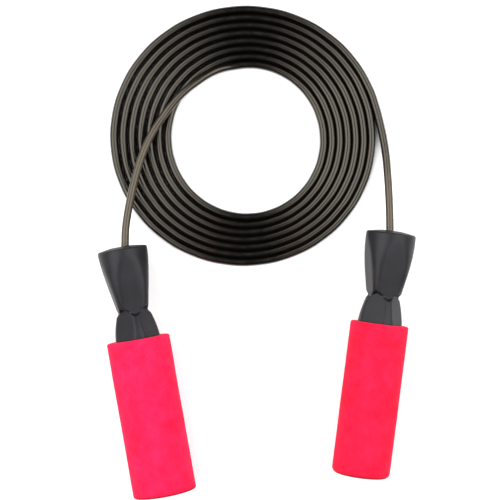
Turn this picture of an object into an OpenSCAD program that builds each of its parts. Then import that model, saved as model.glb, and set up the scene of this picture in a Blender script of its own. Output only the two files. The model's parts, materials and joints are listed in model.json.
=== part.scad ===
// Jump rope: a cord lying in a flat coil, with a ball-bearing handle on each end.
// Millimetres. +Z is up, and the rope and both foam grips lie on the plane Z = 0.
// The origin is under the middle of the two handles' common outline.
// Each handle points its cord mouth roughly along +Y, and the coil lies beyond it.

/* [Cord] */
// Diameter of the cord
cord_d = 4.5; // [3.8:0.1:4.5]

/* [Coil] */
// Middle of the coil, left to right
coil_x = -7; // [-8:0.5:-6]
// Middle of the coil, front to back
coil_y = 129.5; // [129:0.5:130]
// Diameter of the open middle of the coil
coil_hole_d = 80; // [78:0.5:82]
// Outer diameter of the coil
coil_d = 155; // [154:0.5:157]

/* [Grips] */
// Length of the left foam grip
left_grip_l = 88.8; // [87.5:0.1:92]
// Length of the right foam grip, whose foam is a little shorter and thinner
right_grip_l = 86.9; // [86.9:0.1:92]
// Outer diameter of the left foam grip
left_grip_d = 36; // [34:0.1:38]
// Outer diameter of the right foam grip
right_grip_d = 33.2; // [32.4:0.1:36]
// Radius of the rounded edges at the ends next to the heads
grip_corner = 1.3; // [0.5:0.1:2]
// Radius of the rounded edge at the left grip's far end
left_end_corner = 1.3; // [0.5:0.1:3]
// Radius of the rounded edge at the right grip's far end
right_end_corner = 3.4; // [0.5:0.1:3.4]

/* [Handle core] */
// Length of the head that stands out of the grip
head_l = 51.8; // [50.5:0.1:53]
// Diameter of the head at its rim
head_d = 28.3; // [28:0.1:29]
// Diameter of the core inside the grip
core_d = 25; // [24.6:0.1:25.2]
// Length of the core's tube inside the grip
tube_l = 84.4; // [80:0.1:84.4]
// Height of the waist above the grip
waist_h = 15; // [14.5:0.1:15.5]

/* [Bearing] */
// Outside diameter of the ball bearing
bearing_d = 22; // [22:22]
// Bore of the ball bearing
bearing_bore = 8; // [8:8]
// Width of the ball bearing
bearing_w = 7; // [7:7]
// Diameter of a ball
ball_d = 3.97; // [3.97:3.97]
// How many balls the bearing holds
ball_count = 7; // [7:7]

/* [Left handle] */
// Where the left head meets its grip, left to right
left_x = -67.5; // [-68:0.1:-67]
// Where the left head meets its grip, front to back
left_y = 14.8; // [14:0.1:15.5]
// Turn of the left handle, anticlockwise from above
left_turn = 10; // [9:0.1:11]
// Roll of the left head's flats about its own axis
left_roll = 11; // [0:1:45]

/* [Right handle] */
// Where the right head meets its grip, left to right
right_x = 69.5; // [69:0.1:70]
// Where the right head meets its grip, front to back
right_y = 23.4; // [22.5:0.1:24]
// Turn of the right handle, anticlockwise from above
right_turn = -7.3; // [-8:0.1:-6.5]
// Roll of the right head's flats about its own axis
right_roll = 15; // [0:1:45]

/* [Hidden] */
$fn = 96;
slack = 1;

// ---- Heights along a handle, from the shoulder where its head meets its grip ----
rim = head_l;
waist = waist_h;
cap_t = 2.6;
skirt_l = 4.8;
bearing_front = rim - cap_t - skirt_l;
bearing_mid = bearing_front - bearing_w / 2;
bearing_rear = bearing_front - bearing_w;
flange_t = 1.2;
washer_t = 1;
ferrule_l = 10;
cord_end = bearing_rear - flange_t - washer_t - ferrule_l;
cord_inside = (cord_end + bearing_front) / 2;
plug_flange_t = 2;

// ---- Head: two barrels that meet at the waist, each cut by four flats ----
head_r = head_d / 2;
rim_corner = 0.9;
upper_arc = 78;
upper_arc_start = rim - 9.8;
lower_arc = 55;
lower_arc_start = -4.5;
// How far a barrel's wide arc has come in from its start, that far along it
function arc_drop(arc, along) = arc - sqrt(arc * arc - along * along);
waist_r = head_r - arc_drop(upper_arc, upper_arc_start - waist);
lower_barrel_r = waist_r + arc_drop(lower_arc, waist - lower_arc_start);
flat_count = 4;
// Each flat's distance from the axis at its foot height, and how fast that grows upwards
flat_foot = 12;
upper_flat_r = 7.55;
upper_flat_lean = 0.183;
lower_flat_r = 8.6;
lower_flat_lean = -0.2;
// The edge between upper and lower flats zigzags round the waist
zigzag_low = 14;
zigzag_high = 17.4;
zigzag_rise = 0.5;
ledge_slope = 17;
overhang_slope = 15;

// ---- Bearing ----
pitch_r = 7.75;
groove_r = 2.02;
inner_land_r = 6.05;
outer_land_r = 9.6;
shield_seat_r = 9.95;
shield_t = 0.4;
shield_depth = 0.75;
shield_bore_r = 6.3;
cage_inner_r = 7.05;
cage_outer_r = 8.45;
cage_pocket_r = 2.05;

// ---- Pieces on the cord's end ----
bore_clearance = 0.15;
cord_bore_r = cord_d / 2 + bore_clearance;
bush_flange_r = 5.6;
washer_r = 5.4;
ferrule_r = 4.2;
mouth_r = 4.5;
cap_r = 12.4;
cap_dome = 1.4;
cap_relief_r = 9;

// ---- Hollow of the core ----
chamber_r = 7.5;
chamber_bottom = cord_end - 4;
throat_r = 4.5;
hollow_r = 10;
hollow_top = -8;

// A point on a handle's axis, that far past its shoulder
function on_axis(x, y, r, turn, along) = [x - along * sin(turn), y + along * cos(turn), r];

function on_left_axis(along) = on_axis(left_x, left_y, left_grip_d / 2, left_turn, along);
function on_right_axis(along) = on_axis(right_x, right_y, right_grip_d / 2, right_turn, along);

// Route of the cord's left lead: out of the left mouth, down, over the coil's turns
// on the left, and down into its open middle, where it becomes the innermost turn.
left_route = [
    [-74.8, 66.5, 17.9], [-74.6, 76, 17.2], [-73.5, 85.5, 15.8], [-71.8, 95, 14],
    [-69.8, 104.5, 12.1], [-67.3, 114, 10.3], [-64, 123.5, 8.8], [-60, 132, 7.6],
    [-54.5, 140.5, 7], [-48.5, 148.5, 6.8], [-42, 155.5, 6.5], [-34.5, 161.5, 5.5],
    [-27, 166.5, 4.3], [-20, 169.5, 3], [-12.5, 171, 2.3], [-5, 171.8, 2.3]
];

// Route of the right lead: off the outermost turn on the right and up into the right mouth.
right_route = [
    [67.9, 148.5, 2.3], [70.7, 138, 2.5], [72.7, 128, 3.7], [74, 118, 6.1],
    [74.6, 108, 9.2], [75, 98, 12.3], [75.2, 88, 14.9], [75.3, 77, 16.4]
];

left_line = concat(
    [on_left_axis(cord_end), on_left_axis(cord_inside), on_left_axis(bearing_front)],
    left_route
);
right_line = concat(
    right_route,
    [on_right_axis(bearing_front), on_right_axis(cord_inside), on_right_axis(cord_end)]
);

// ---- The swept cord ----
cord_sides = 10;

function unit(v) = v / norm(v);

// Direction of a line at its point i, halfway between its two neighbours
function heading(line, i) =
    unit(line[min(i + 1, len(line) - 1)] - line[max(i - 1, 0)]);

// The ring of corners around a line's point i, with one corner straight down
function cord_ring(line, i) =
    let (
        along = heading(line, i),
        side = unit(cross(along, [0, 0, 1])),
        up = cross(side, along)
    )
    [for (k = [0:cord_sides - 1])
        let (a = 360 * k / cord_sides)
        line[i] + cord_d / 2 * (sin(a) * side - cos(a) * up)];

module swept_cord(line) {
    rings = len(line);
    corners = [for (i = [0:rings - 1]) each cord_ring(line, i)];
    walls = [
        for (i = [0:rings - 2])
            for (k = [0:cord_sides - 1])
                let (next = (k + 1) % cord_sides, here = i * cord_sides)
                each [
                    [here + k, here + next, here + cord_sides + k],
                    [here + next, here + cord_sides + next, here + cord_sides + k]
                ]
    ];
    first_end = [for (k = [cord_sides - 1:-1:0]) k];
    last_end = [for (k = [0:cord_sides - 1]) (rings - 1) * cord_sides + k];
    polyhedron(corners, concat(walls, [first_end, last_end]));
}

module cord_left_lead() {
    color("#2b2622") swept_cord(left_line);
}

module cord_right_lead() {
    color("#2b2622") swept_cord(right_line);
}

// The flat coil of turns, as the ring that they fill
module cord_coil() {
    edge_r = cord_d / 2;
    color("#2b2622")
        translate([coil_x, coil_y, edge_r])
            rotate_extrude() {
                translate([coil_hole_d / 2 + edge_r, -edge_r])
                    square([(coil_d - coil_hole_d) / 2 - cord_d, cord_d]);
                translate([coil_hole_d / 2 + edge_r, 0]) circle(edge_r);
                translate([coil_d / 2 - edge_r, 0]) circle(edge_r);
            }
}

// ---- Where a handle lies: its axis along local Z, with its upper side at local -Y ----
module at_left() {
    translate(on_left_axis(0)) rotate([-90, 0, left_turn]) children();
}

module at_right() {
    translate(on_right_axis(0)) rotate([-90, 0, right_turn]) children();
}

// ---- Core: faceted head, waist and the tube inside the grip, in one moulding ----

// Half outline of the head above the waist, with its rounded rim
module upper_barrel_outline() {
    intersection() {
        translate([0, waist]) square([head_r, upper_arc_start - waist]);
        translate([head_r - upper_arc, upper_arc_start]) circle(upper_arc, $fn = 360);
    }
    translate([0, upper_arc_start]) square([head_r, rim - rim_corner - upper_arc_start]);
    translate([0, rim - rim_corner - slack]) square([head_r - rim_corner, rim_corner + slack]);
    translate([head_r - rim_corner, rim - rim_corner]) circle(rim_corner);
}

// Half outline of the neck below the waist
module lower_barrel_outline() {
    intersection() {
        square([lower_barrel_r, waist]);
        translate([lower_barrel_r - lower_arc, lower_arc_start]) circle(lower_arc, $fn = 360);
    }
}

// Everything outside one leaning flat, from low to high along the axis.
// The flat faces local -Y and is foot_r from the axis at the height flat_foot.
module outside_flat(foot_r, lean, low, high) {
    outside = foot_r + head_d;
    rotate([90, 0, -90])
        linear_extrude(2 * head_d, center = true)
            polygon([
                [foot_r + lean * (low - flat_foot), low],
                [foot_r + lean * (high - flat_foot), high],
                [outside, high],
                [outside, low]
            ]);
}

// A wedge along the flat's outward direction, tilted by slope, that widens away from its edge
module beyond_zigzag(edge_r, edge_height, slope, rise) {
    reach = 2 * head_d;
    translate([0, -edge_r, edge_height])
        rotate([90 + slope, 0, 0])
            linear_extrude(head_d, center = true)
                polygon([
                    [0, 0],
                    [reach, reach * rise],
                    [reach, 2 * reach * sign(rise)],
                    [-reach, 2 * reach * sign(rise)],
                    [-reach, reach * rise]
                ]);
}

module upper_flat_cut() {
    intersection() {
        outside_flat(upper_flat_r, upper_flat_lean, 0, rim);
        beyond_zigzag(upper_flat_r, zigzag_low, ledge_slope, zigzag_rise);
    }
}

module lower_flat_cut() {
    edge_r = lower_flat_r + lower_flat_lean * (zigzag_high - flat_foot);
    intersection() {
        outside_flat(lower_flat_r, lower_flat_lean, 0, zigzag_high + head_r);
        beyond_zigzag(edge_r, zigzag_high, -overhang_slope, -zigzag_rise);
    }
}

// Bearing pocket, cap seat, chamber for the cord's end, throat and the tube's inside
module core_hollow() {
    chamber_cone = 4;
    hollow_cone = 6;
    translate([0, 0, bearing_rear]) cylinder(r = bearing_d / 2, h = rim - bearing_rear + slack);
    translate([0, 0, rim - cap_t]) cylinder(r = cap_r, h = cap_t + slack);
    translate([0, 0, chamber_bottom]) cylinder(r = chamber_r, h = rim - chamber_bottom);
    translate([0, 0, chamber_bottom - chamber_cone])
        cylinder(r1 = throat_r, r2 = chamber_r, h = chamber_cone);
    translate([0, 0, -tube_l]) cylinder(r = throat_r, h = rim + tube_l);
    translate([0, 0, hollow_top]) cylinder(r1 = hollow_r, r2 = throat_r, h = hollow_cone);
    translate([0, 0, -tube_l - slack]) cylinder(r = hollow_r, h = tube_l + hollow_top + slack);
}

module core(roll) {
    step = 360 / flat_count;
    color("#35363a")
        rotate([0, 0, roll])
            difference() {
                union() {
                    rotate_extrude() {
                        upper_barrel_outline();
                        lower_barrel_outline();
                    }
                    translate([0, 0, -tube_l]) cylinder(d = core_d, h = tube_l);
                }
                for (i = [0:flat_count - 1]) rotate([0, 0, i * step]) upper_flat_cut();
                for (i = [0:flat_count - 1]) rotate([0, 0, (i + 0.5) * step]) lower_flat_cut();
                core_hollow();
            }
}

// ---- Foam grip: a plain sleeve with rounded ends ----
module grip(d, l, end_corner) {
    wall = (d - core_d) / 2;
    color("#f2386b")
        rotate_extrude() {
            translate([core_d / 2, end_corner - l]) square([wall, l - end_corner - grip_corner]);
            translate([core_d / 2, -l]) square([wall - end_corner, end_corner + slack]);
            intersection() {
                translate([core_d / 2, -l]) square([wall, end_corner + slack]);
                translate([d / 2 - end_corner, end_corner - l]) circle(end_corner);
            }
            translate([core_d / 2, -grip_corner - slack])
                square([wall - grip_corner, grip_corner + slack]);
            translate([d / 2 - grip_corner, -grip_corner]) circle(grip_corner);
        }
}

// ---- Cap: domed disc with the cord's mouth, and a skirt that holds the bearing ----
module cap() {
    dome_arc = (cap_r * cap_r + cap_dome * cap_dome) / (2 * cap_dome);
    lip = 1.3;
    lip_top = rim + cap_dome - arc_drop(dome_arc, mouth_r + lip);
    seam = 0.1;
    color("#2f3034")
        rotate_extrude() {
            intersection() {
                translate([mouth_r + lip, rim - cap_t])
                    square([cap_r - mouth_r - lip, cap_t + cap_dome]);
                translate([0, rim + cap_dome - dome_arc]) circle(dome_arc, $fn = 720);
            }
            translate([mouth_r, rim - cap_t]) square([lip + seam, lip_top - lip - rim + cap_t]);
            translate([mouth_r + lip, lip_top - lip]) circle(lip);
            translate([cap_relief_r, bearing_front])
                square([bearing_d / 2 - cap_relief_r, skirt_l + slack]);
        }
}

// ---- End plug: closes the tube at the grip's far end ----
module end_plug() {
    spigot_l = 8;
    spigot_wall = 2;
    dish_r = 8.5;
    dish_depth = 0.6;
    face = -tube_l - plug_flange_t;
    color("#2f3034")
        difference() {
            union() {
                translate([0, 0, face]) cylinder(d = core_d, h = plug_flange_t);
                translate([0, 0, -tube_l]) cylinder(r = hollow_r, h = spigot_l);
            }
            translate([0, 0, -tube_l + slack])
                cylinder(r = hollow_r - spigot_wall, h = spigot_l);
            translate([0, 0, face - slack]) cylinder(r = dish_r, h = dish_depth + slack);
        }
}

// ---- Ball bearing, drawn about its own middle ----
module outer_race() {
    seat = bearing_w / 2 - shield_depth;
    color("#b9bcc0")
        rotate_extrude()
            difference() {
                translate([outer_land_r, -bearing_w / 2])
                    square([bearing_d / 2 - outer_land_r, bearing_w]);
                translate([pitch_r, 0]) circle(groove_r);
                translate([0, seat]) square([shield_seat_r, shield_depth + slack]);
                translate([0, -seat - shield_depth - slack])
                    square([shield_seat_r, shield_depth + slack]);
            }
}

module inner_race() {
    color("#b9bcc0")
        rotate_extrude()
            difference() {
                translate([bearing_bore / 2, -bearing_w / 2])
                    square([inner_land_r - bearing_bore / 2, bearing_w]);
                translate([pitch_r, 0]) circle(groove_r);
            }
}

module each_ball_place() {
    for (i = [0:ball_count - 1])
        rotate([0, 0, i * 360 / ball_count])
            translate([pitch_r, 0, 0])
                children();
}

module balls() {
    color("#d6d8dc") each_ball_place() sphere(d = ball_d);
}

// Crown cage: a ring whose pockets open towards the cap
module ball_cage() {
    back = 2.6;
    front = 1.2;
    color("#8a6d3b")
        difference() {
            rotate_extrude()
                translate([cage_inner_r, -back])
                    square([cage_outer_r - cage_inner_r, back + front]);
            each_ball_place() sphere(r = cage_pocket_r);
        }
}

module shield(side) {
    seat = bearing_w / 2 - shield_depth;
    color("#9da1a6")
        translate([0, 0, side > 0 ? seat : -seat - shield_t])
            difference() {
                cylinder(r = shield_seat_r, h = shield_t);
                translate([0, 0, -slack]) cylinder(r = shield_bore_r, h = shield_t + 2 * slack);
            }
}

// ---- Pieces on the cord inside the head, drawn about the bearing's middle ----

// Flanged sleeve that carries the cord in the bearing's inner race
module bush() {
    color("#e6e3da")
        translate([0, 0, -bearing_w / 2])
            difference() {
                union() {
                    cylinder(d = bearing_bore, h = bearing_w);
                    translate([0, 0, -flange_t]) cylinder(r = bush_flange_r, h = flange_t);
                }
                translate([0, 0, -flange_t - slack])
                    cylinder(r = cord_bore_r, h = bearing_w + flange_t + 2 * slack);
            }
}

module stop_washer() {
    color("#c9ccd1")
        translate([0, 0, -bearing_w / 2 - flange_t - washer_t])
            difference() {
                cylinder(r = washer_r, h = washer_t);
                translate([0, 0, -slack]) cylinder(r = cord_bore_r, h = washer_t + 2 * slack);
            }
}

// Crimped sleeve on the cord's end, with three pressed grooves
module ferrule() {
    groove_count = 3;
    groove_step = ferrule_l / (groove_count + 1);
    groove_cut_r = 0.8;
    groove_offset = 0.3;
    color("#c9a227")
        translate([0, 0, -bearing_w / 2 - flange_t - washer_t - ferrule_l])
            rotate_extrude()
                difference() {
                    translate([cord_bore_r, 0]) square([ferrule_r - cord_bore_r, ferrule_l]);
                    for (i = [1:groove_count])
                        translate([ferrule_r + groove_offset, i * groove_step]) circle(groove_cut_r);
                }
}

module in_head() {
    translate([0, 0, bearing_mid]) children();
}

cord_left_lead();
cord_coil();
cord_right_lead();

at_left() core(left_roll);  // left_core
at_left() grip(left_grip_d, left_grip_l, left_end_corner);  // left_grip
at_left() cap();  // left_cap
at_left() end_plug();  // left_end_plug
at_left() in_head() outer_race();  // left_outer_race
at_left() in_head() inner_race();  // left_inner_race
at_left() in_head() ball_cage();  // left_ball_cage
at_left() in_head() balls();  // left_balls
at_left() in_head() shield(1);  // left_front_shield
at_left() in_head() shield(-1);  // left_rear_shield
at_left() in_head() bush();  // left_bush
at_left() in_head() stop_washer();  // left_stop_washer
at_left() in_head() ferrule();  // left_ferrule

at_right() core(right_roll);  // right_core
at_right() grip(right_grip_d, right_grip_l, right_end_corner);  // right_grip
at_right() cap();  // right_cap
at_right() end_plug();  // right_end_plug
at_right() in_head() outer_race();  // right_outer_race
at_right() in_head() inner_race();  // right_inner_race
at_right() in_head() ball_cage();  // right_ball_cage
at_right() in_head() balls();  // right_balls
at_right() in_head() shield(1);  // right_front_shield
at_right() in_head() shield(-1);  // right_rear_shield
at_right() in_head() bush();  // right_bush
at_right() in_head() stop_washer();  // right_stop_washer
at_right() in_head() ferrule();  // right_ferrule
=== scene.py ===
import json
import math

import bmesh
import bpy
import numpy as np
from mathutils import Matrix, Vector, noise
from mathutils.bvhtree import BVHTree


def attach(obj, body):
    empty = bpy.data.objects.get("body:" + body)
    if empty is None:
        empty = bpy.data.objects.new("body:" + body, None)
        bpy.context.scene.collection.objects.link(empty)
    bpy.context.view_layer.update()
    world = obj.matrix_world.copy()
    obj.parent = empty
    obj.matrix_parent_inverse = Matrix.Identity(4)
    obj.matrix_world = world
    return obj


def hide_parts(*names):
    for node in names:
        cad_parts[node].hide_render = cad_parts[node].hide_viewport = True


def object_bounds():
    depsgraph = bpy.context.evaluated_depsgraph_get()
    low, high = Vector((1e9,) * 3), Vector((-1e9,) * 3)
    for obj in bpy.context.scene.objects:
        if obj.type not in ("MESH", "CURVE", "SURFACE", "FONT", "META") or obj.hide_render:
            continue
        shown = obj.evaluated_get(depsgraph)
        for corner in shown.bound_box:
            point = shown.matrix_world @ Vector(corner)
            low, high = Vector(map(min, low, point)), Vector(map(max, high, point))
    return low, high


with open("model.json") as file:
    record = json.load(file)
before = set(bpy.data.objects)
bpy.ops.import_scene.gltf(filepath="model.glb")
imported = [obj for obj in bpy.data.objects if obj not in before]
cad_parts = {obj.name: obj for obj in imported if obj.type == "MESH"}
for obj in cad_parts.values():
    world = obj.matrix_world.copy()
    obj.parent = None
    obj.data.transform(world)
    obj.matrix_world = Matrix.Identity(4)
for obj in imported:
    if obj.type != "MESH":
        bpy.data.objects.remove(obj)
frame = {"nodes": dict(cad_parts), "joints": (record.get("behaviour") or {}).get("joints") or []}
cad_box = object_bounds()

# Metres, in the CAD frame: the rope lies on z = 0, and each handle points its mouth along +Y.
SIDES = ("left", "right")


# ---- Places on a handle, measured in the frame ----
def handle_axis(side):
    """The middle of a handle's bearing, and the direction of its axis towards the mouth."""
    joint = next(j for j in frame["joints"] if j["name"] == side + "_handle_spin")
    return Vector(joint["pos_m"]), Vector(joint["axis"]).normalized()


def on_axis(side, along):
    """The point of a handle's axis that far from the middle of its bearing."""
    middle, direction = handle_axis(side)
    return middle + along * direction


def along_and_out(side, point):
    """How far a point lies along a handle's axis, and how far from it."""
    middle, direction = handle_axis(side)
    offset = point - middle
    along = offset.dot(direction)
    return along, (offset - along * direction).length


def outward(side, angle):
    """The direction away from a handle's axis, at that angle from straight up."""
    _, direction = handle_axis(side)
    up = Vector((0, 0, 1))
    return math.cos(angle) * up + math.sin(angle) * direction.cross(up)


def node_span(side, name):
    """The lowest and highest place of a handle's node along its axis, and its outer radius."""
    vertices = frame["nodes"][side + "_" + name].data.vertices
    places = [along_and_out(side, vertex.co) for vertex in vertices]
    alongs = [along for along, _ in places]
    return min(alongs), max(alongs), max(out for _, out in places)


def handle_sizes():
    """What both handles share, to a tenth of a millimetre: four places on the axis and a radius."""
    _, rim, _ = node_span("left", "core")
    _, shoulder, _ = node_span("left", "grip")
    _, bearing_front, _ = node_span("left", "outer_race")
    cord_end, _, _ = node_span("left", "ferrule")
    _, _, tube_radius = node_span("left", "end_plug")
    return [round(size, 4) for size in (rim, shoulder, bearing_front, cord_end, tube_radius)]


# A head runs from its rim to the shoulder, where the foam begins, and CORE_R is the tube's radius
RIM, SHOULDER, BEARING_FRONT, CORD_END, CORE_R = handle_sizes()

# ---- Camera: straight above the rope, with +Y up in the picture ----
CAMERA_HEIGHT = 0.95
# From the middle of the CAD model to the middle of the picture
CAMERA_OFFSET = Vector((-0.0039, -0.0007))
# How much of the floor the picture shows, and the sensor's width in the millimetres of a lens
VIEW_WIDTH = 0.2885
SENSOR_MM = 36


def box_middle(low, high):
    return (low + high) / 2


def make_camera():
    middle = box_middle(*cad_box)
    data = bpy.data.cameras.new("camera")
    data.sensor_width = SENSOR_MM
    data.lens = SENSOR_MM * CAMERA_HEIGHT / VIEW_WIDTH
    camera = bpy.data.objects.new("camera", data)
    camera.location = (middle.x + CAMERA_OFFSET.x, middle.y + CAMERA_OFFSET.y, CAMERA_HEIGHT)
    bpy.context.scene.collection.objects.link(camera)
    bpy.context.scene.camera = camera


# ---- Shader helpers ----
# Nearly all of a noise's values lie between these two
NOISE_FROM_TO = (0.3, 0.7)


def new_material(name):
    """A material, its node tree and its Principled shader, ready to be filled in."""
    material = bpy.data.materials.new(name)
    material.use_nodes = True
    tree = material.node_tree
    return material, tree, tree.nodes["Principled BSDF"]


def add_node(tree, kind, **settings):
    """A new node with its properties and its input values set by name."""
    node = tree.nodes.new(kind)
    for name, value in settings.items():
        if name in node.inputs:
            node.inputs[name].default_value = value
        else:
            setattr(node, name, value)
    return node


def object_coordinates(tree):
    """Object coordinates, in metres."""
    return tree.nodes.new("ShaderNodeTexCoord").outputs["Object"]


def add_noise(tree, place, grain, detail=2.0, roughness=0.5):
    """A noise whose grains are about that many metres across."""
    texture = add_node(tree, "ShaderNodeTexNoise", Scale=1 / grain, Detail=detail)
    texture.inputs["Roughness"].default_value = roughness
    tree.links.new(place, texture.inputs["Vector"])
    return texture.outputs["Fac"]


def add_ramp(tree, factor, stops):
    """A colour ramp with two stops of (place, colour)."""
    ramp = tree.nodes.new("ShaderNodeValToRGB")
    for element, (place, colour) in zip(ramp.color_ramp.elements, stops):
        element.position = place
        element.color = (*colour, 1.0)
    tree.links.new(factor, ramp.inputs["Fac"])
    return ramp.outputs["Color"]


def add_range(tree, factor, low, high, start=0.0, end=1.0):
    """A factor from start to end, mapped to low to high."""
    node = add_node(tree, "ShaderNodeMapRange")
    node.inputs["From Min"].default_value = start
    node.inputs["From Max"].default_value = end
    node.inputs["To Min"].default_value = low
    node.inputs["To Max"].default_value = high
    tree.links.new(factor, node.inputs["Value"])
    return node.outputs["Result"]


def add_mix(tree, factor, first, second):
    """From the first colour to the second. Each is a colour, or another node's output."""
    mix = add_node(tree, "ShaderNodeMix", data_type="RGBA")
    tree.links.new(factor, mix.inputs["Factor"])
    for name, colour in (("A", first), ("B", second)):
        if isinstance(colour, tuple):
            mix.inputs[name].default_value = (*colour, 1.0)
        else:
            tree.links.new(colour, mix.inputs[name])
    return mix.outputs["Result"]


def add_bump(tree, height, depth, normal=None):
    """A bump of that depth in metres, on top of another one if it is given."""
    node = add_node(tree, "ShaderNodeBump", Strength=1.0, Distance=depth)
    tree.links.new(height, node.inputs["Height"])
    if normal is not None:
        tree.links.new(normal, node.inputs["Normal"])
    return node.outputs["Normal"]


def add_clouds(tree, clouds, colours):
    """A colour that wanders with a noise between two colours."""
    return add_ramp(tree, clouds, zip(NOISE_FROM_TO, colours))


def set_roughness(tree, shader, marks, low, high):
    """Lets a shader's roughness wander with a noise from low to high."""
    roughness = add_range(tree, marks, low, high, *NOISE_FROM_TO)
    tree.links.new(roughness, shader.inputs["Roughness"])


def show_with(piece, material):
    """Gives a piece just that material."""
    piece.data.materials.clear()
    piece.data.materials.append(material)


# ---- Materials ----
# Linear colours. Where there are two, the surface wanders between them.
COIL_BLACK = (0.0008, 0.0007, 0.0006), (0.0015, 0.0013, 0.0010)
# Painted light: the paler, browner colour of the lifted leads, standing in for the light they show
LEAD_PAINTED_LIGHT = (0.026, 0.020, 0.012), (0.036, 0.028, 0.017)
HEAD_BLACK = (0.006, 0.006, 0.0082), (0.010, 0.010, 0.013)
CAP_BLACK = (0.006, 0.006, 0.007), (0.009, 0.009, 0.011)
COOL_PINK = (0.88, 0.006, 0.042), (0.98, 0.016, 0.082)
WARM_PINK = (0.88, 0.004, 0.024), (0.98, 0.013, 0.056)
ACETAL_WHITE = (0.78, 0.76, 0.69), (0.84, 0.82, 0.76)
BEARING_GREY = (0.60, 0.61, 0.62), (0.72, 0.73, 0.74)
SHIELD_GREY = (0.50, 0.51, 0.53), (0.60, 0.61, 0.63)
ZINC_GREY = (0.62, 0.64, 0.66), (0.74, 0.75, 0.77)
CAGE_BRASS = (0.55, 0.40, 0.17), (0.68, 0.52, 0.25)
CRIMP_BRASS = (0.66, 0.48, 0.20), (0.78, 0.60, 0.30)
AMBER_GLOSS = (1.0, 0.91, 0.77)
WORN_EDGE = (0.040, 0.040, 0.044)
PORE_PINK = (0.78, 0.006, 0.036)
# Painted shade for the foam grips' far ends
FAR_END_SHADE_PINK = (0.26, 0.003, 0.012)
SHEEN_PINK = (1.0, 0.45, 0.60)

# Heights over which the cord goes from its own colour in the coil to the painted light, paler and
# browner, of its lifted leads
PAINTED_LIGHT_FROM_TO = (0.0065, 0.0115)
# How pointed the head's edges are where they begin to look worn, and where they are wholly so
WORN_FROM_TO = (0.53, 0.60)
# Foam cells' size, and the share of it, from a cell's middle, where its pore turns into its wall
CELL_SIZE = 0.0009
PORE_FROM_TO = (0.10, 0.35)
# How far along a foam grip the painted shade, a deeper pink at its far end, fades out
FAR_END_SHADE_DEPTH = 0.0028
# How much smoother and rougher than its average a small part's surface gets
SMOOTHER, ROUGHER = 0.06, 0.08


def cord_material():
    """Glossy smoky PVC, near black, with painted light making the leads that lift off it paler and
    browner.
    """
    material, tree, shader = new_material("smoky_pvc")
    place = object_coordinates(tree)
    clouds = add_noise(tree, place, grain=0.02)
    axes = tree.nodes.new("ShaderNodeSeparateXYZ")
    tree.links.new(place, axes.inputs["Vector"])
    # Painted light, growing with height over the floor
    painted_light_share = add_range(tree, axes.outputs["Z"], 0.0, 1.0, *PAINTED_LIGHT_FROM_TO)
    coil = add_clouds(tree, clouds, COIL_BLACK)
    lead = add_clouds(tree, clouds, LEAD_PAINTED_LIGHT)
    tree.links.new(add_mix(tree, painted_light_share, coil, lead), shader.inputs["Base Color"])
    smears = add_noise(tree, place, grain=0.004, detail=3)
    set_roughness(tree, shader, smears, low=0.17, high=0.23)
    waves = add_noise(tree, place, grain=0.006)
    tree.links.new(add_bump(tree, waves, depth=0.00006), shader.inputs["Normal"])
    shader.inputs["IOR"].default_value = 1.52
    shader.inputs["Specular Tint"].default_value = (*AMBER_GLOSS, 1.0)
    return material


def head_material():
    """Satin black moulded plastic, with a fine spark-eroded grain and paler worn edges."""
    material, tree, shader = new_material("moulded_plastic")
    place = object_coordinates(tree)
    grain = add_noise(tree, place, grain=0.0004, detail=4, roughness=0.6)
    clouds = add_noise(tree, place, grain=0.009, detail=3)
    geometry = tree.nodes.new("ShaderNodeNewGeometry")
    worn = add_range(tree, geometry.outputs["Pointiness"], 0.0, 0.5, *WORN_FROM_TO)
    colour = add_mix(tree, worn, add_clouds(tree, clouds, HEAD_BLACK), WORN_EDGE)
    tree.links.new(colour, shader.inputs["Base Color"])
    set_roughness(tree, shader, grain, low=0.36, high=0.52)
    tree.links.new(add_bump(tree, grain, depth=0.00002), shader.inputs["Normal"])
    shader.inputs["Specular IOR Level"].default_value = 0.22
    return material


def add_far_end_shade(tree, place, side):
    """From 0 at a grip's far end, where the painted shade is deepest, to 1 where the foam has its own
    colour.
    """
    middle, direction = handle_axis(side)
    far_end = node_span(side, "grip")[0] + middle.dot(direction)
    along = add_node(tree, "ShaderNodeVectorMath", operation="DOT_PRODUCT")
    along.inputs[1].default_value = direction
    tree.links.new(place, along.inputs[0])
    return add_range(tree, along.outputs["Value"], 0.0, 1.0, far_end, far_end + FAR_END_SHADE_DEPTH)


def foam_material(name, colours, side):
    """Hot pink closed-cell foam: a fine felted grain with small cells, and painted shade in deeper
    pink at its far end.
    """
    material, tree, shader = new_material(name)
    place = object_coordinates(tree)
    grain = add_noise(tree, place, grain=0.0007, detail=4, roughness=0.65)
    clouds = add_noise(tree, place, grain=0.009, detail=6, roughness=0.62)
    cells = add_node(tree, "ShaderNodeTexVoronoi", Scale=1 / CELL_SIZE)
    tree.links.new(place, cells.inputs["Vector"])
    walls = add_range(tree, cells.outputs["Distance"], 0.0, 1.0, *PORE_FROM_TO)
    skin = add_mix(tree, walls, PORE_PINK, add_clouds(tree, clouds, colours))
    # Painted shade: deeper pink towards the grip's far end
    colour = add_mix(tree, add_far_end_shade(tree, place, side), FAR_END_SHADE_PINK, skin)
    tree.links.new(colour, shader.inputs["Base Color"])
    set_roughness(tree, shader, grain, low=0.82, high=0.95)
    cell_bump = add_bump(tree, walls, depth=0.00005)
    felt_bump = add_bump(tree, grain, depth=0.00008, normal=cell_bump)
    tree.links.new(felt_bump, shader.inputs["Normal"])
    shader.inputs["Specular IOR Level"].default_value = 0.10
    shader.inputs["Sheen Weight"].default_value = 0.03
    shader.inputs["Sheen Roughness"].default_value = 0.5
    shader.inputs["Sheen Tint"].default_value = (*SHEEN_PINK, 1.0)
    return material


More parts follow.
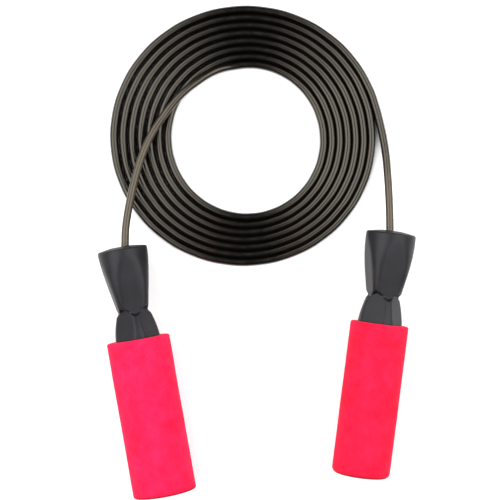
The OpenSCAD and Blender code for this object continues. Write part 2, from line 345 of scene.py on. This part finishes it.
def small_part_material(name, colours, cloud, roughness, grain, depth):
    """A material with clouds of that size in its colour, and marks of that grain and depth."""
    material, tree, shader = new_material(name)
    place = object_coordinates(tree)
    marks = add_noise(tree, place, grain, detail=4, roughness=0.6)
    clouds = add_noise(tree, place, cloud, detail=3)
    tree.links.new(add_clouds(tree, clouds, colours), shader.inputs["Base Color"])
    set_roughness(tree, shader, marks, roughness - SMOOTHER, roughness + ROUGHER)
    tree.links.new(add_bump(tree, marks, depth), shader.inputs["Normal"])
    return material, shader


def metal_material(name, colours, roughness, grain):
    """Metal with fine tool marks."""
    cloud, depth = 0.004, 0.000008
    material, shader = small_part_material(name, colours, cloud, roughness, grain, depth)
    shader.inputs["Metallic"].default_value = 1.0
    return material


def plastic_material(name, colours, roughness, gloss):
    """Moulded plastic with a fine grain."""
    cloud, grain, depth = 0.006, 0.0004, 0.00002
    material, shader = small_part_material(name, colours, cloud, roughness, grain, depth)
    shader.inputs["Specular IOR Level"].default_value = gloss
    return material


# ---- Cord: one curve from head to head ----
CORD_D = 0.0045
# Left lead, from the mouth over the coil's turns and down into its open middle
LEFT_ROUTE = [
    (-0.0748, 0.0665, 0.0179), (-0.0746, 0.0760, 0.0172), (-0.0735, 0.0855, 0.0158),
    (-0.0718, 0.0950, 0.0140), (-0.0698, 0.1045, 0.0121), (-0.0673, 0.1140, 0.0103),
    (-0.0640, 0.1235, 0.0088), (-0.0600, 0.1320, 0.0076), (-0.0545, 0.1405, 0.0070),
    (-0.0485, 0.1485, 0.0068), (-0.0420, 0.1555, 0.0065), (-0.0345, 0.1615, 0.0055),
    (-0.0270, 0.1665, 0.0043), (-0.0200, 0.1695, 0.0030), (-0.0125, 0.1710, 0.0023),
    (-0.0050, 0.1718, 0.0023),
]
# Right lead, off the outermost turn and up into the mouth
RIGHT_ROUTE = [
    (0.0679, 0.1485, 0.0023), (0.0707, 0.1380, 0.0025), (0.0727, 0.1280, 0.0037),
    (0.0740, 0.1180, 0.0061), (0.0746, 0.1080, 0.0092), (0.0750, 0.0980, 0.0123),
    (0.0752, 0.0880, 0.0149), (0.0753, 0.0770, 0.0164),
]
# Where the coil starts and ends, in turns from the top of the innermost one
COIL_START, COIL_END = 0.035, 7.19
POINTS_PER_TURN = 24
# Middle and half size of the innermost turn, in x and y, and what each turn adds to them
COIL_MIDDLE, COIL_DRIFT = (-0.00512, 0.12896), (-0.00028, 0.0001)
COIL_HALF, COIL_GROWTH = (0.0424, 0.04283), (0.00487, 0.00442)


def coil_point(turn):
    """A point of the coil, that many turns clockwise from the top of the innermost one."""
    angle = 2 * math.pi * turn
    middle_x, middle_y = (middle + drift * turn for middle, drift in zip(COIL_MIDDLE, COIL_DRIFT))
    half_x, half_y = (half + growth * turn for half, growth in zip(COIL_HALF, COIL_GROWTH))
    x = middle_x + half_x * math.sin(angle)
    y = middle_y + half_y * math.cos(angle)
    return Vector((x, y, CORD_D / 2))


def cord_line():
    """The cord's points, from its end inside the left head to its end inside the right one."""
    inside = (CORD_END, (CORD_END + BEARING_FRONT) / 2, BEARING_FRONT)
    count = round((COIL_END - COIL_START) * POINTS_PER_TURN)
    turns = [COIL_START + (COIL_END - COIL_START) * i / count for i in range(count + 1)]
    points = [on_axis("left", along) for along in inside]
    points += [Vector(p) for p in LEFT_ROUTE]
    points += [coil_point(turn) for turn in turns]
    points += [Vector(p) for p in RIGHT_ROUTE]
    points += [on_axis("right", along) for along in reversed(inside)]
    return points


def make_cord():
    points = cord_line()
    data = bpy.data.curves.new("jump_cord", "CURVE")
    data.dimensions = "3D"
    data.resolution_u = 6
    data.bevel_depth = CORD_D / 2
    data.bevel_resolution = 6
    data.use_fill_caps = True
    spline = data.splines.new("BEZIER")
    spline.bezier_points.add(len(points) - 1)
    for knot, point in zip(spline.bezier_points, points):
        knot.co = point
        knot.handle_left_type = knot.handle_right_type = "AUTO"
    cord = bpy.data.objects.new("jump_cord", data)
    bpy.context.scene.collection.objects.link(cord)
    show_with(cord, cord_material())
    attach(cord, "rope")
    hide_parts("cord_left_lead", "cord_coil", "cord_right_lead")


# ---- Outlines (along, out) beside a handle's axis, and the meshes they make ----
# Edges sharper than this many degrees stay sharp
SHARP_ANGLE = 40


def arc(centre, radius, start, end, steps):
    """Points on an arc, by angle in degrees from the axis' direction."""
    angles = [math.radians(start + (end - start) * i / steps) for i in range(steps + 1)]
    return [(centre[0] + radius * math.cos(a), centre[1] + radius * math.sin(a)) for a in angles]


def straight(start, end, step):
    """Points from start to just before end, at most a step apart."""
    count = max(1, math.ceil(math.dist(start, end) / step))
    return [tuple(s + (e - s) * i / count for s, e in zip(start, end)) for i in range(count)]


def spin(name, side, outline_at, count):
    """A piece whose closed outline is given at each of that many angles round the axis."""
    middle, direction = handle_axis(side)
    mesh = bmesh.new()
    rings = []
    for i in range(count):
        out_way = outward(side, 2 * math.pi * i / count)
        outline = outline_at(i)
        ring = [middle + float(a) * direction + float(r) * out_way for a, r in outline]
        rings.append([mesh.verts.new(corner) for corner in ring])
    for i in range(count):
        here, after = rings[i], rings[(i + 1) % count]
        for k in range(len(here)):
            next_k = (k + 1) % len(here)
            mesh.faces.new((here[k], here[next_k], after[next_k], after[k]))
    bmesh.ops.recalc_face_normals(mesh, faces=mesh.faces)
    data = bpy.data.meshes.new(name)
    mesh.to_mesh(data)
    mesh.free()
    piece = bpy.data.objects.new(name, data)
    bpy.context.scene.collection.objects.link(piece)
    return piece


def smooth_shade(piece):
    """Shades a piece smoothly, apart from its sharp edges."""
    piece.data.set_sharp_from_angle(angle=math.radians(SHARP_ANGLE))
    piece.data.polygons.foreach_set("use_smooth", [True] * len(piece.data.polygons))


# ---- Foam grips ----
GRIP_AROUND = 144
GRIP_STEP = 0.0008
BORE_STEP = 5 * GRIP_STEP
# Rounding at the ends next to the heads, and at the far ends
NEAR_CORNER = 0.0013
FAR_CORNER = {"left": NEAR_CORNER, "right": 0.0034}
# Slow waves and fine felted skin of cut foam: how far they push, and how wide they are
FOAM_WAVE, FOAM_WAVE_GRAIN = 0.00012, 0.020
FOAM_SKIN, FOAM_SKIN_GRAIN = 0.00005, 0.0020


def grip_outline(side):
    """The outline of the sleeve's wall, from the bore at the far end round to the head."""
    low, high, out = node_span(side, "grip")
    far_corner = FAR_CORNER[side]
    far = arc((low + far_corner, out - far_corner), far_corner, start=180, end=90, steps=8)
    near = arc((high - NEAR_CORNER, out - NEAR_CORNER), NEAR_CORNER, start=90, end=0, steps=6)
    outline = straight((low, CORE_R), far[0], GRIP_STEP) + far[:-1]
    outline += straight(far[-1], near[0], GRIP_STEP) + near[:-1]
    outline += straight(near[-1], (high, CORE_R), GRIP_STEP)
    outline += straight((high, CORE_R), (low, CORE_R), BORE_STEP)
    return outline


def roughen_foam(piece, side):
    """Moves the sleeve's outside in and out a little, and leaves its bore alone."""
    middle, direction = handle_axis(side)
    for vertex in piece.data.vertices:
        along, radius = along_and_out(side, vertex.co)
        if radius < CORE_R + FOAM_WAVE:
            continue
        out_way = (vertex.co - middle - along * direction).normalized()
        push = FOAM_WAVE * (noise.noise(vertex.co / FOAM_WAVE_GRAIN) - 0.5)
        push += FOAM_SKIN * (noise.noise(vertex.co / FOAM_SKIN_GRAIN) - 0.5)
        vertex.co += push * out_way


def make_grip(side, material):
    outline = grip_outline(side)
    grip = spin(side + "_foam_grip", side, lambda i: outline, GRIP_AROUND)
    roughen_foam(grip, side)
    smooth_shade(grip)
    show_with(grip, material)
    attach(grip, side + "_handle")
    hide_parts(side + "_grip")


# ---- Moulded cores: the CAD head's outside, with its edges softened as in a moulding ----
HEAD_AROUND = 200
HEAD_STEP = 0.00025
RIM_CORNER = 0.0013
# A distance from the axis that lies outside every head
PROBE_START = 0.03
# Softness of the edges round the waist and of the long flats above it, and where it changes
CRISP, SOFT = 0.00035, 0.0014
SOFT_FROM, SOFT_WHOLLY = -0.0225, -0.0165
# How many times its softness a blur reaches
BLUR_REACH = 3
# Hollow behind the bearing: chamber for the cord's end, throat, and the tube's inside
CHAMBER_R, THROAT_R, HOLLOW_R = 0.0075, 0.0045, 0.0100
CHAMBER_END = CORD_END - 0.004
THROAT_START = CHAMBER_END - 0.004
THROAT_END = SHOULDER - 0.002
HOLLOW_START = SHOULDER - 0.008
# How far the cap's skirt reaches into the core, down to the bearing
CAP_SKIRT = 0.0048


def sample_head(side):
    """Heights along the axis up to the rim's corner, and the CAD head's radius all round each."""
    node = frame["nodes"][side + "_core"]
    tree = BVHTree.FromObject(node, bpy.context.evaluated_depsgraph_get())
    middle, direction = handle_axis(side)
    count = round((RIM - RIM_CORNER - SHOULDER) / HEAD_STEP)
    heights = np.linspace(SHOULDER + HEAD_STEP / 2, RIM - RIM_CORNER, count)
    radii = np.empty((count, HEAD_AROUND))
    for k in range(HEAD_AROUND):
        out_way = outward(side, 2 * math.pi * k / HEAD_AROUND)
        for i, height in enumerate(heights):
            start = middle + float(height) * direction + PROBE_START * out_way
            radii[i, k] = PROBE_START - tree.ray_cast(start, -out_way)[3]
    return heights, radii


def blur_weights(softness, step):
    """How many steps a blur reaches each way, and the weight of each step in it."""
    half = math.ceil(BLUR_REACH * softness / step)
    weights = np.exp(-0.5 * (np.arange(-half, half + 1) * step / softness) ** 2)
    return half, weights / weights.sum()


def blurred(radii, softness):
    """The radii, blurred over that many metres of surface, along the axis and round it."""
    half, weights = blur_weights(softness, HEAD_STEP)
    tall = np.pad(radii, ((half, half), (0, 0)), mode="edge")
    radii = sum(w * tall[i:i + len(radii)] for i, w in enumerate(weights))
    half, weights = blur_weights(softness, 2 * math.pi * radii.mean() / HEAD_AROUND)
    return sum(w * np.roll(radii, i - half, axis=1) for i, w in enumerate(weights))


def softened_head(side):
    """The head's heights and radii, crisp round the waist and softer above it."""
    heights, radii = sample_head(side)
    share = np.clip((heights - SOFT_FROM) / (SOFT_WHOLLY - SOFT_FROM), 0, 1)[:, None]
    return heights, (1 - share) * blurred(radii, CRISP) + share * blurred(radii, SOFT)


def core_inside(side):
    """The core's outline from the rim's edge down through the hollow, and up round the tube."""
    race_low, race_high, race_r = node_span(side, "outer_race")
    _, _, cap_r = node_span(side, "cap")
    tube_end, _, _ = node_span(side, "core")
    seat = race_high + CAP_SKIRT
    return [
        (RIM, cap_r), (seat, cap_r), (seat, race_r), (race_low, race_r),
        (race_low, CHAMBER_R), (CHAMBER_END, CHAMBER_R), (THROAT_START, THROAT_R),
        (THROAT_END, THROAT_R), (HOLLOW_START, HOLLOW_R), (tube_end, HOLLOW_R),
        (tube_end, CORE_R), (SHOULDER, CORE_R),
    ]


def make_core(side, material):
    heights, radii = softened_head(side)
    inside = core_inside(side)

    def outline_at(i):
        top = radii[-1, i]
        outer = list(zip(heights, radii[:, i]))
        rim = arc((RIM - RIM_CORNER, top - RIM_CORNER), RIM_CORNER, start=90, end=0, steps=5)
        return outer[:-1] + rim + inside

    core = spin(side + "_moulded_core", side, outline_at, HEAD_AROUND)
    smooth_shade(core)
    show_with(core, material)
    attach(core, side + "_handle")
    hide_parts(side + "_core")


# ---- Better finishes for the CAD nodes that stay ----
def dress_nodes():
    cap = plastic_material("cap_plastic", CAP_BLACK, roughness=0.50, gloss=0.12)
    acetal = plastic_material("acetal", ACETAL_WHITE, roughness=0.35, gloss=0.5)
    steel = metal_material("bearing_steel", BEARING_GREY, roughness=0.18, grain=0.0003)
    shield = metal_material("shield_steel", SHIELD_GREY, roughness=0.32, grain=0.0005)
    zinc = metal_material("zinc_steel", ZINC_GREY, roughness=0.35, grain=0.0004)
    brass = metal_material("cage_brass", CAGE_BRASS, roughness=0.34, grain=0.0004)
    crimp = metal_material("ferrule_brass", CRIMP_BRASS, roughness=0.28, grain=0.0003)
    finishes = {
        "cap": cap, "end_plug": cap,
        "outer_race": steel, "inner_race": steel, "balls": steel,
        "front_shield": shield, "rear_shield": shield,
        "ball_cage": brass, "bush": acetal, "stop_washer": zinc, "ferrule": crimp,
    }
    for side in SIDES:
        for name, material in finishes.items():
            show_with(frame["nodes"][side + "_" + name], material)


# ---- Floor and light ----
FLOOR_HALF_WIDTH = 3.0
# How near the rope has to be for painted shade to darken the floor, as in the narrow gaps of the coil
PAINTED_SHADE_REACH = 0.004
# The grey of the painted shade in the gaps, and the paper's own grey
GAP_PAINTED_SHADE, PAPER_GREY = 0.03, 0.80
# The floor's painted light, a glow near the rope, and how far away it grows from that to full white
FLOOR_PAINTED_LIGHT = 0.20
FLOOR_PAINTED_LIGHT_SPREAD = (0.25, 0.90)
# Each softbox leans from a top edge beside the camera to a bottom edge (aside, height)
SOFTBOX_TOP = (0.20, 1.05)
SOFTBOX_BOTTOM = (1.25, 0.55)
SOFTBOX_WIDTH = 1.4
# From the middle of the CAD model to the softboxes' middle, along +Y
SOFTBOX_NORTH = 0.20
LEFT_POWER, RIGHT_POWER = 23.5, 21.4
ROOM_LIGHT = 0.05


def grey(value):
    return value, value, value


def floor_material():
    """White paper, with painted shade in the coil's narrow gaps and a painted glow that grows away
    from the rope.
    """
    material, tree, shader = new_material("white_paper")
    # Painted shade: the paper's colour darkens where the rope is near
    openness = add_node(tree, "ShaderNodeAmbientOcclusion", samples=8, Distance=PAINTED_SHADE_REACH)
    stops = [(0.12, grey(GAP_PAINTED_SHADE)), (0.40, grey(PAPER_GREY))]
    paper = add_ramp(tree, openness.outputs["AO"], stops)
    # Painted light: the paper glows, weakly near the rope, fully far off, and not where the rope is
    # close
    open_paper = add_ramp(tree, openness.outputs["AO"], [(0.45, grey(0)), (0.80, grey(1))])
    away = add_node(tree, "ShaderNodeVectorMath", operation="LENGTH")
    tree.links.new(object_coordinates(tree), away.inputs[0])
    painted_light_strength = add_range(tree, away.outputs["Value"], FLOOR_PAINTED_LIGHT, 1.0, *FLOOR_PAINTED_LIGHT_SPREAD)
    tree.links.new(paper, shader.inputs["Base Color"])
    tree.links.new(open_paper, shader.inputs["Emission Color"])
    tree.links.new(painted_light_strength, shader.inputs["Emission Strength"])
    shader.inputs["Roughness"].default_value = 0.9
    shader.inputs["Specular IOR Level"].default_value = 0.1
    return material


def make_floor():
    mesh = bmesh.new()
    bmesh.ops.create_grid(mesh, x_segments=8, y_segments=8, size=FLOOR_HALF_WIDTH)
    data = bpy.data.meshes.new("floor")
    mesh.to_mesh(data)
    mesh.free()
    floor = bpy.data.objects.new("floor", data)
    bpy.context.scene.collection.objects.link(floor)
    show_with(floor, floor_material())


def make_softbox(name, sign, power):
    """A long panel that leans from beside the camera down to one side of the rope."""
    top, bottom = (Vector((sign * aside, 0.0, z)) for aside, z in (SOFTBOX_TOP, SOFTBOX_BOTTOM))
    data = bpy.data.lights.new(name, "AREA")
    data.shape = "RECTANGLE"
    data.size = (bottom - top).length
    data.size_y = SOFTBOX_WIDTH
    data.energy = power
    light = bpy.data.objects.new(name, data)
    light.visible_camera = False
    # An area light shines along its own -Z, so its Z axis has to point up
    x_axis = (bottom - top).normalized()
    y_axis = Vector((0.0, sign, 0.0))
    axes = Matrix((x_axis, y_axis, x_axis.cross(y_axis))).transposed().to_4x4()
    middle = box_middle(*cad_box)
    place = Vector((middle.x, middle.y + SOFTBOX_NORTH, 0.0)) + (top + bottom) / 2
    light.matrix_world = Matrix.Translation(place) @ axes
    bpy.context.scene.collection.objects.link(light)


def make_world():
    """White as the background of a view, and dim to everything that the rope reflects."""
    world = bpy.data.worlds.new("studio")
    world.use_nodes = True
    tree = world.node_tree
    background = tree.nodes["Background"]
    background.inputs["Color"].default_value = (*grey(1), 1.0)
    path = tree.nodes.new("ShaderNodeLightPath")
    strength = add_range(tree, path.outputs["Is Camera Ray"], ROOM_LIGHT, 1.0)
    tree.links.new(strength, background.inputs["Strength"])
    bpy.context.scene.world = world


def light_scene():
    make_softbox("left_softbox", -1, LEFT_POWER)
    make_softbox("right_softbox", 1, RIGHT_POWER)
    make_world()
    bpy.context.scene.view_settings.view_transform = "Standard"


# ---- Build ----
make_camera()
make_cord()
make_grip("left", foam_material("cool_pink_foam", COOL_PINK, "left"))
make_grip("right", foam_material("warm_pink_foam", WARM_PINK, "right"))
black_plastic = head_material()
for side in SIDES:
    make_core(side, black_plastic)
dress_nodes()
make_floor()
light_scene()
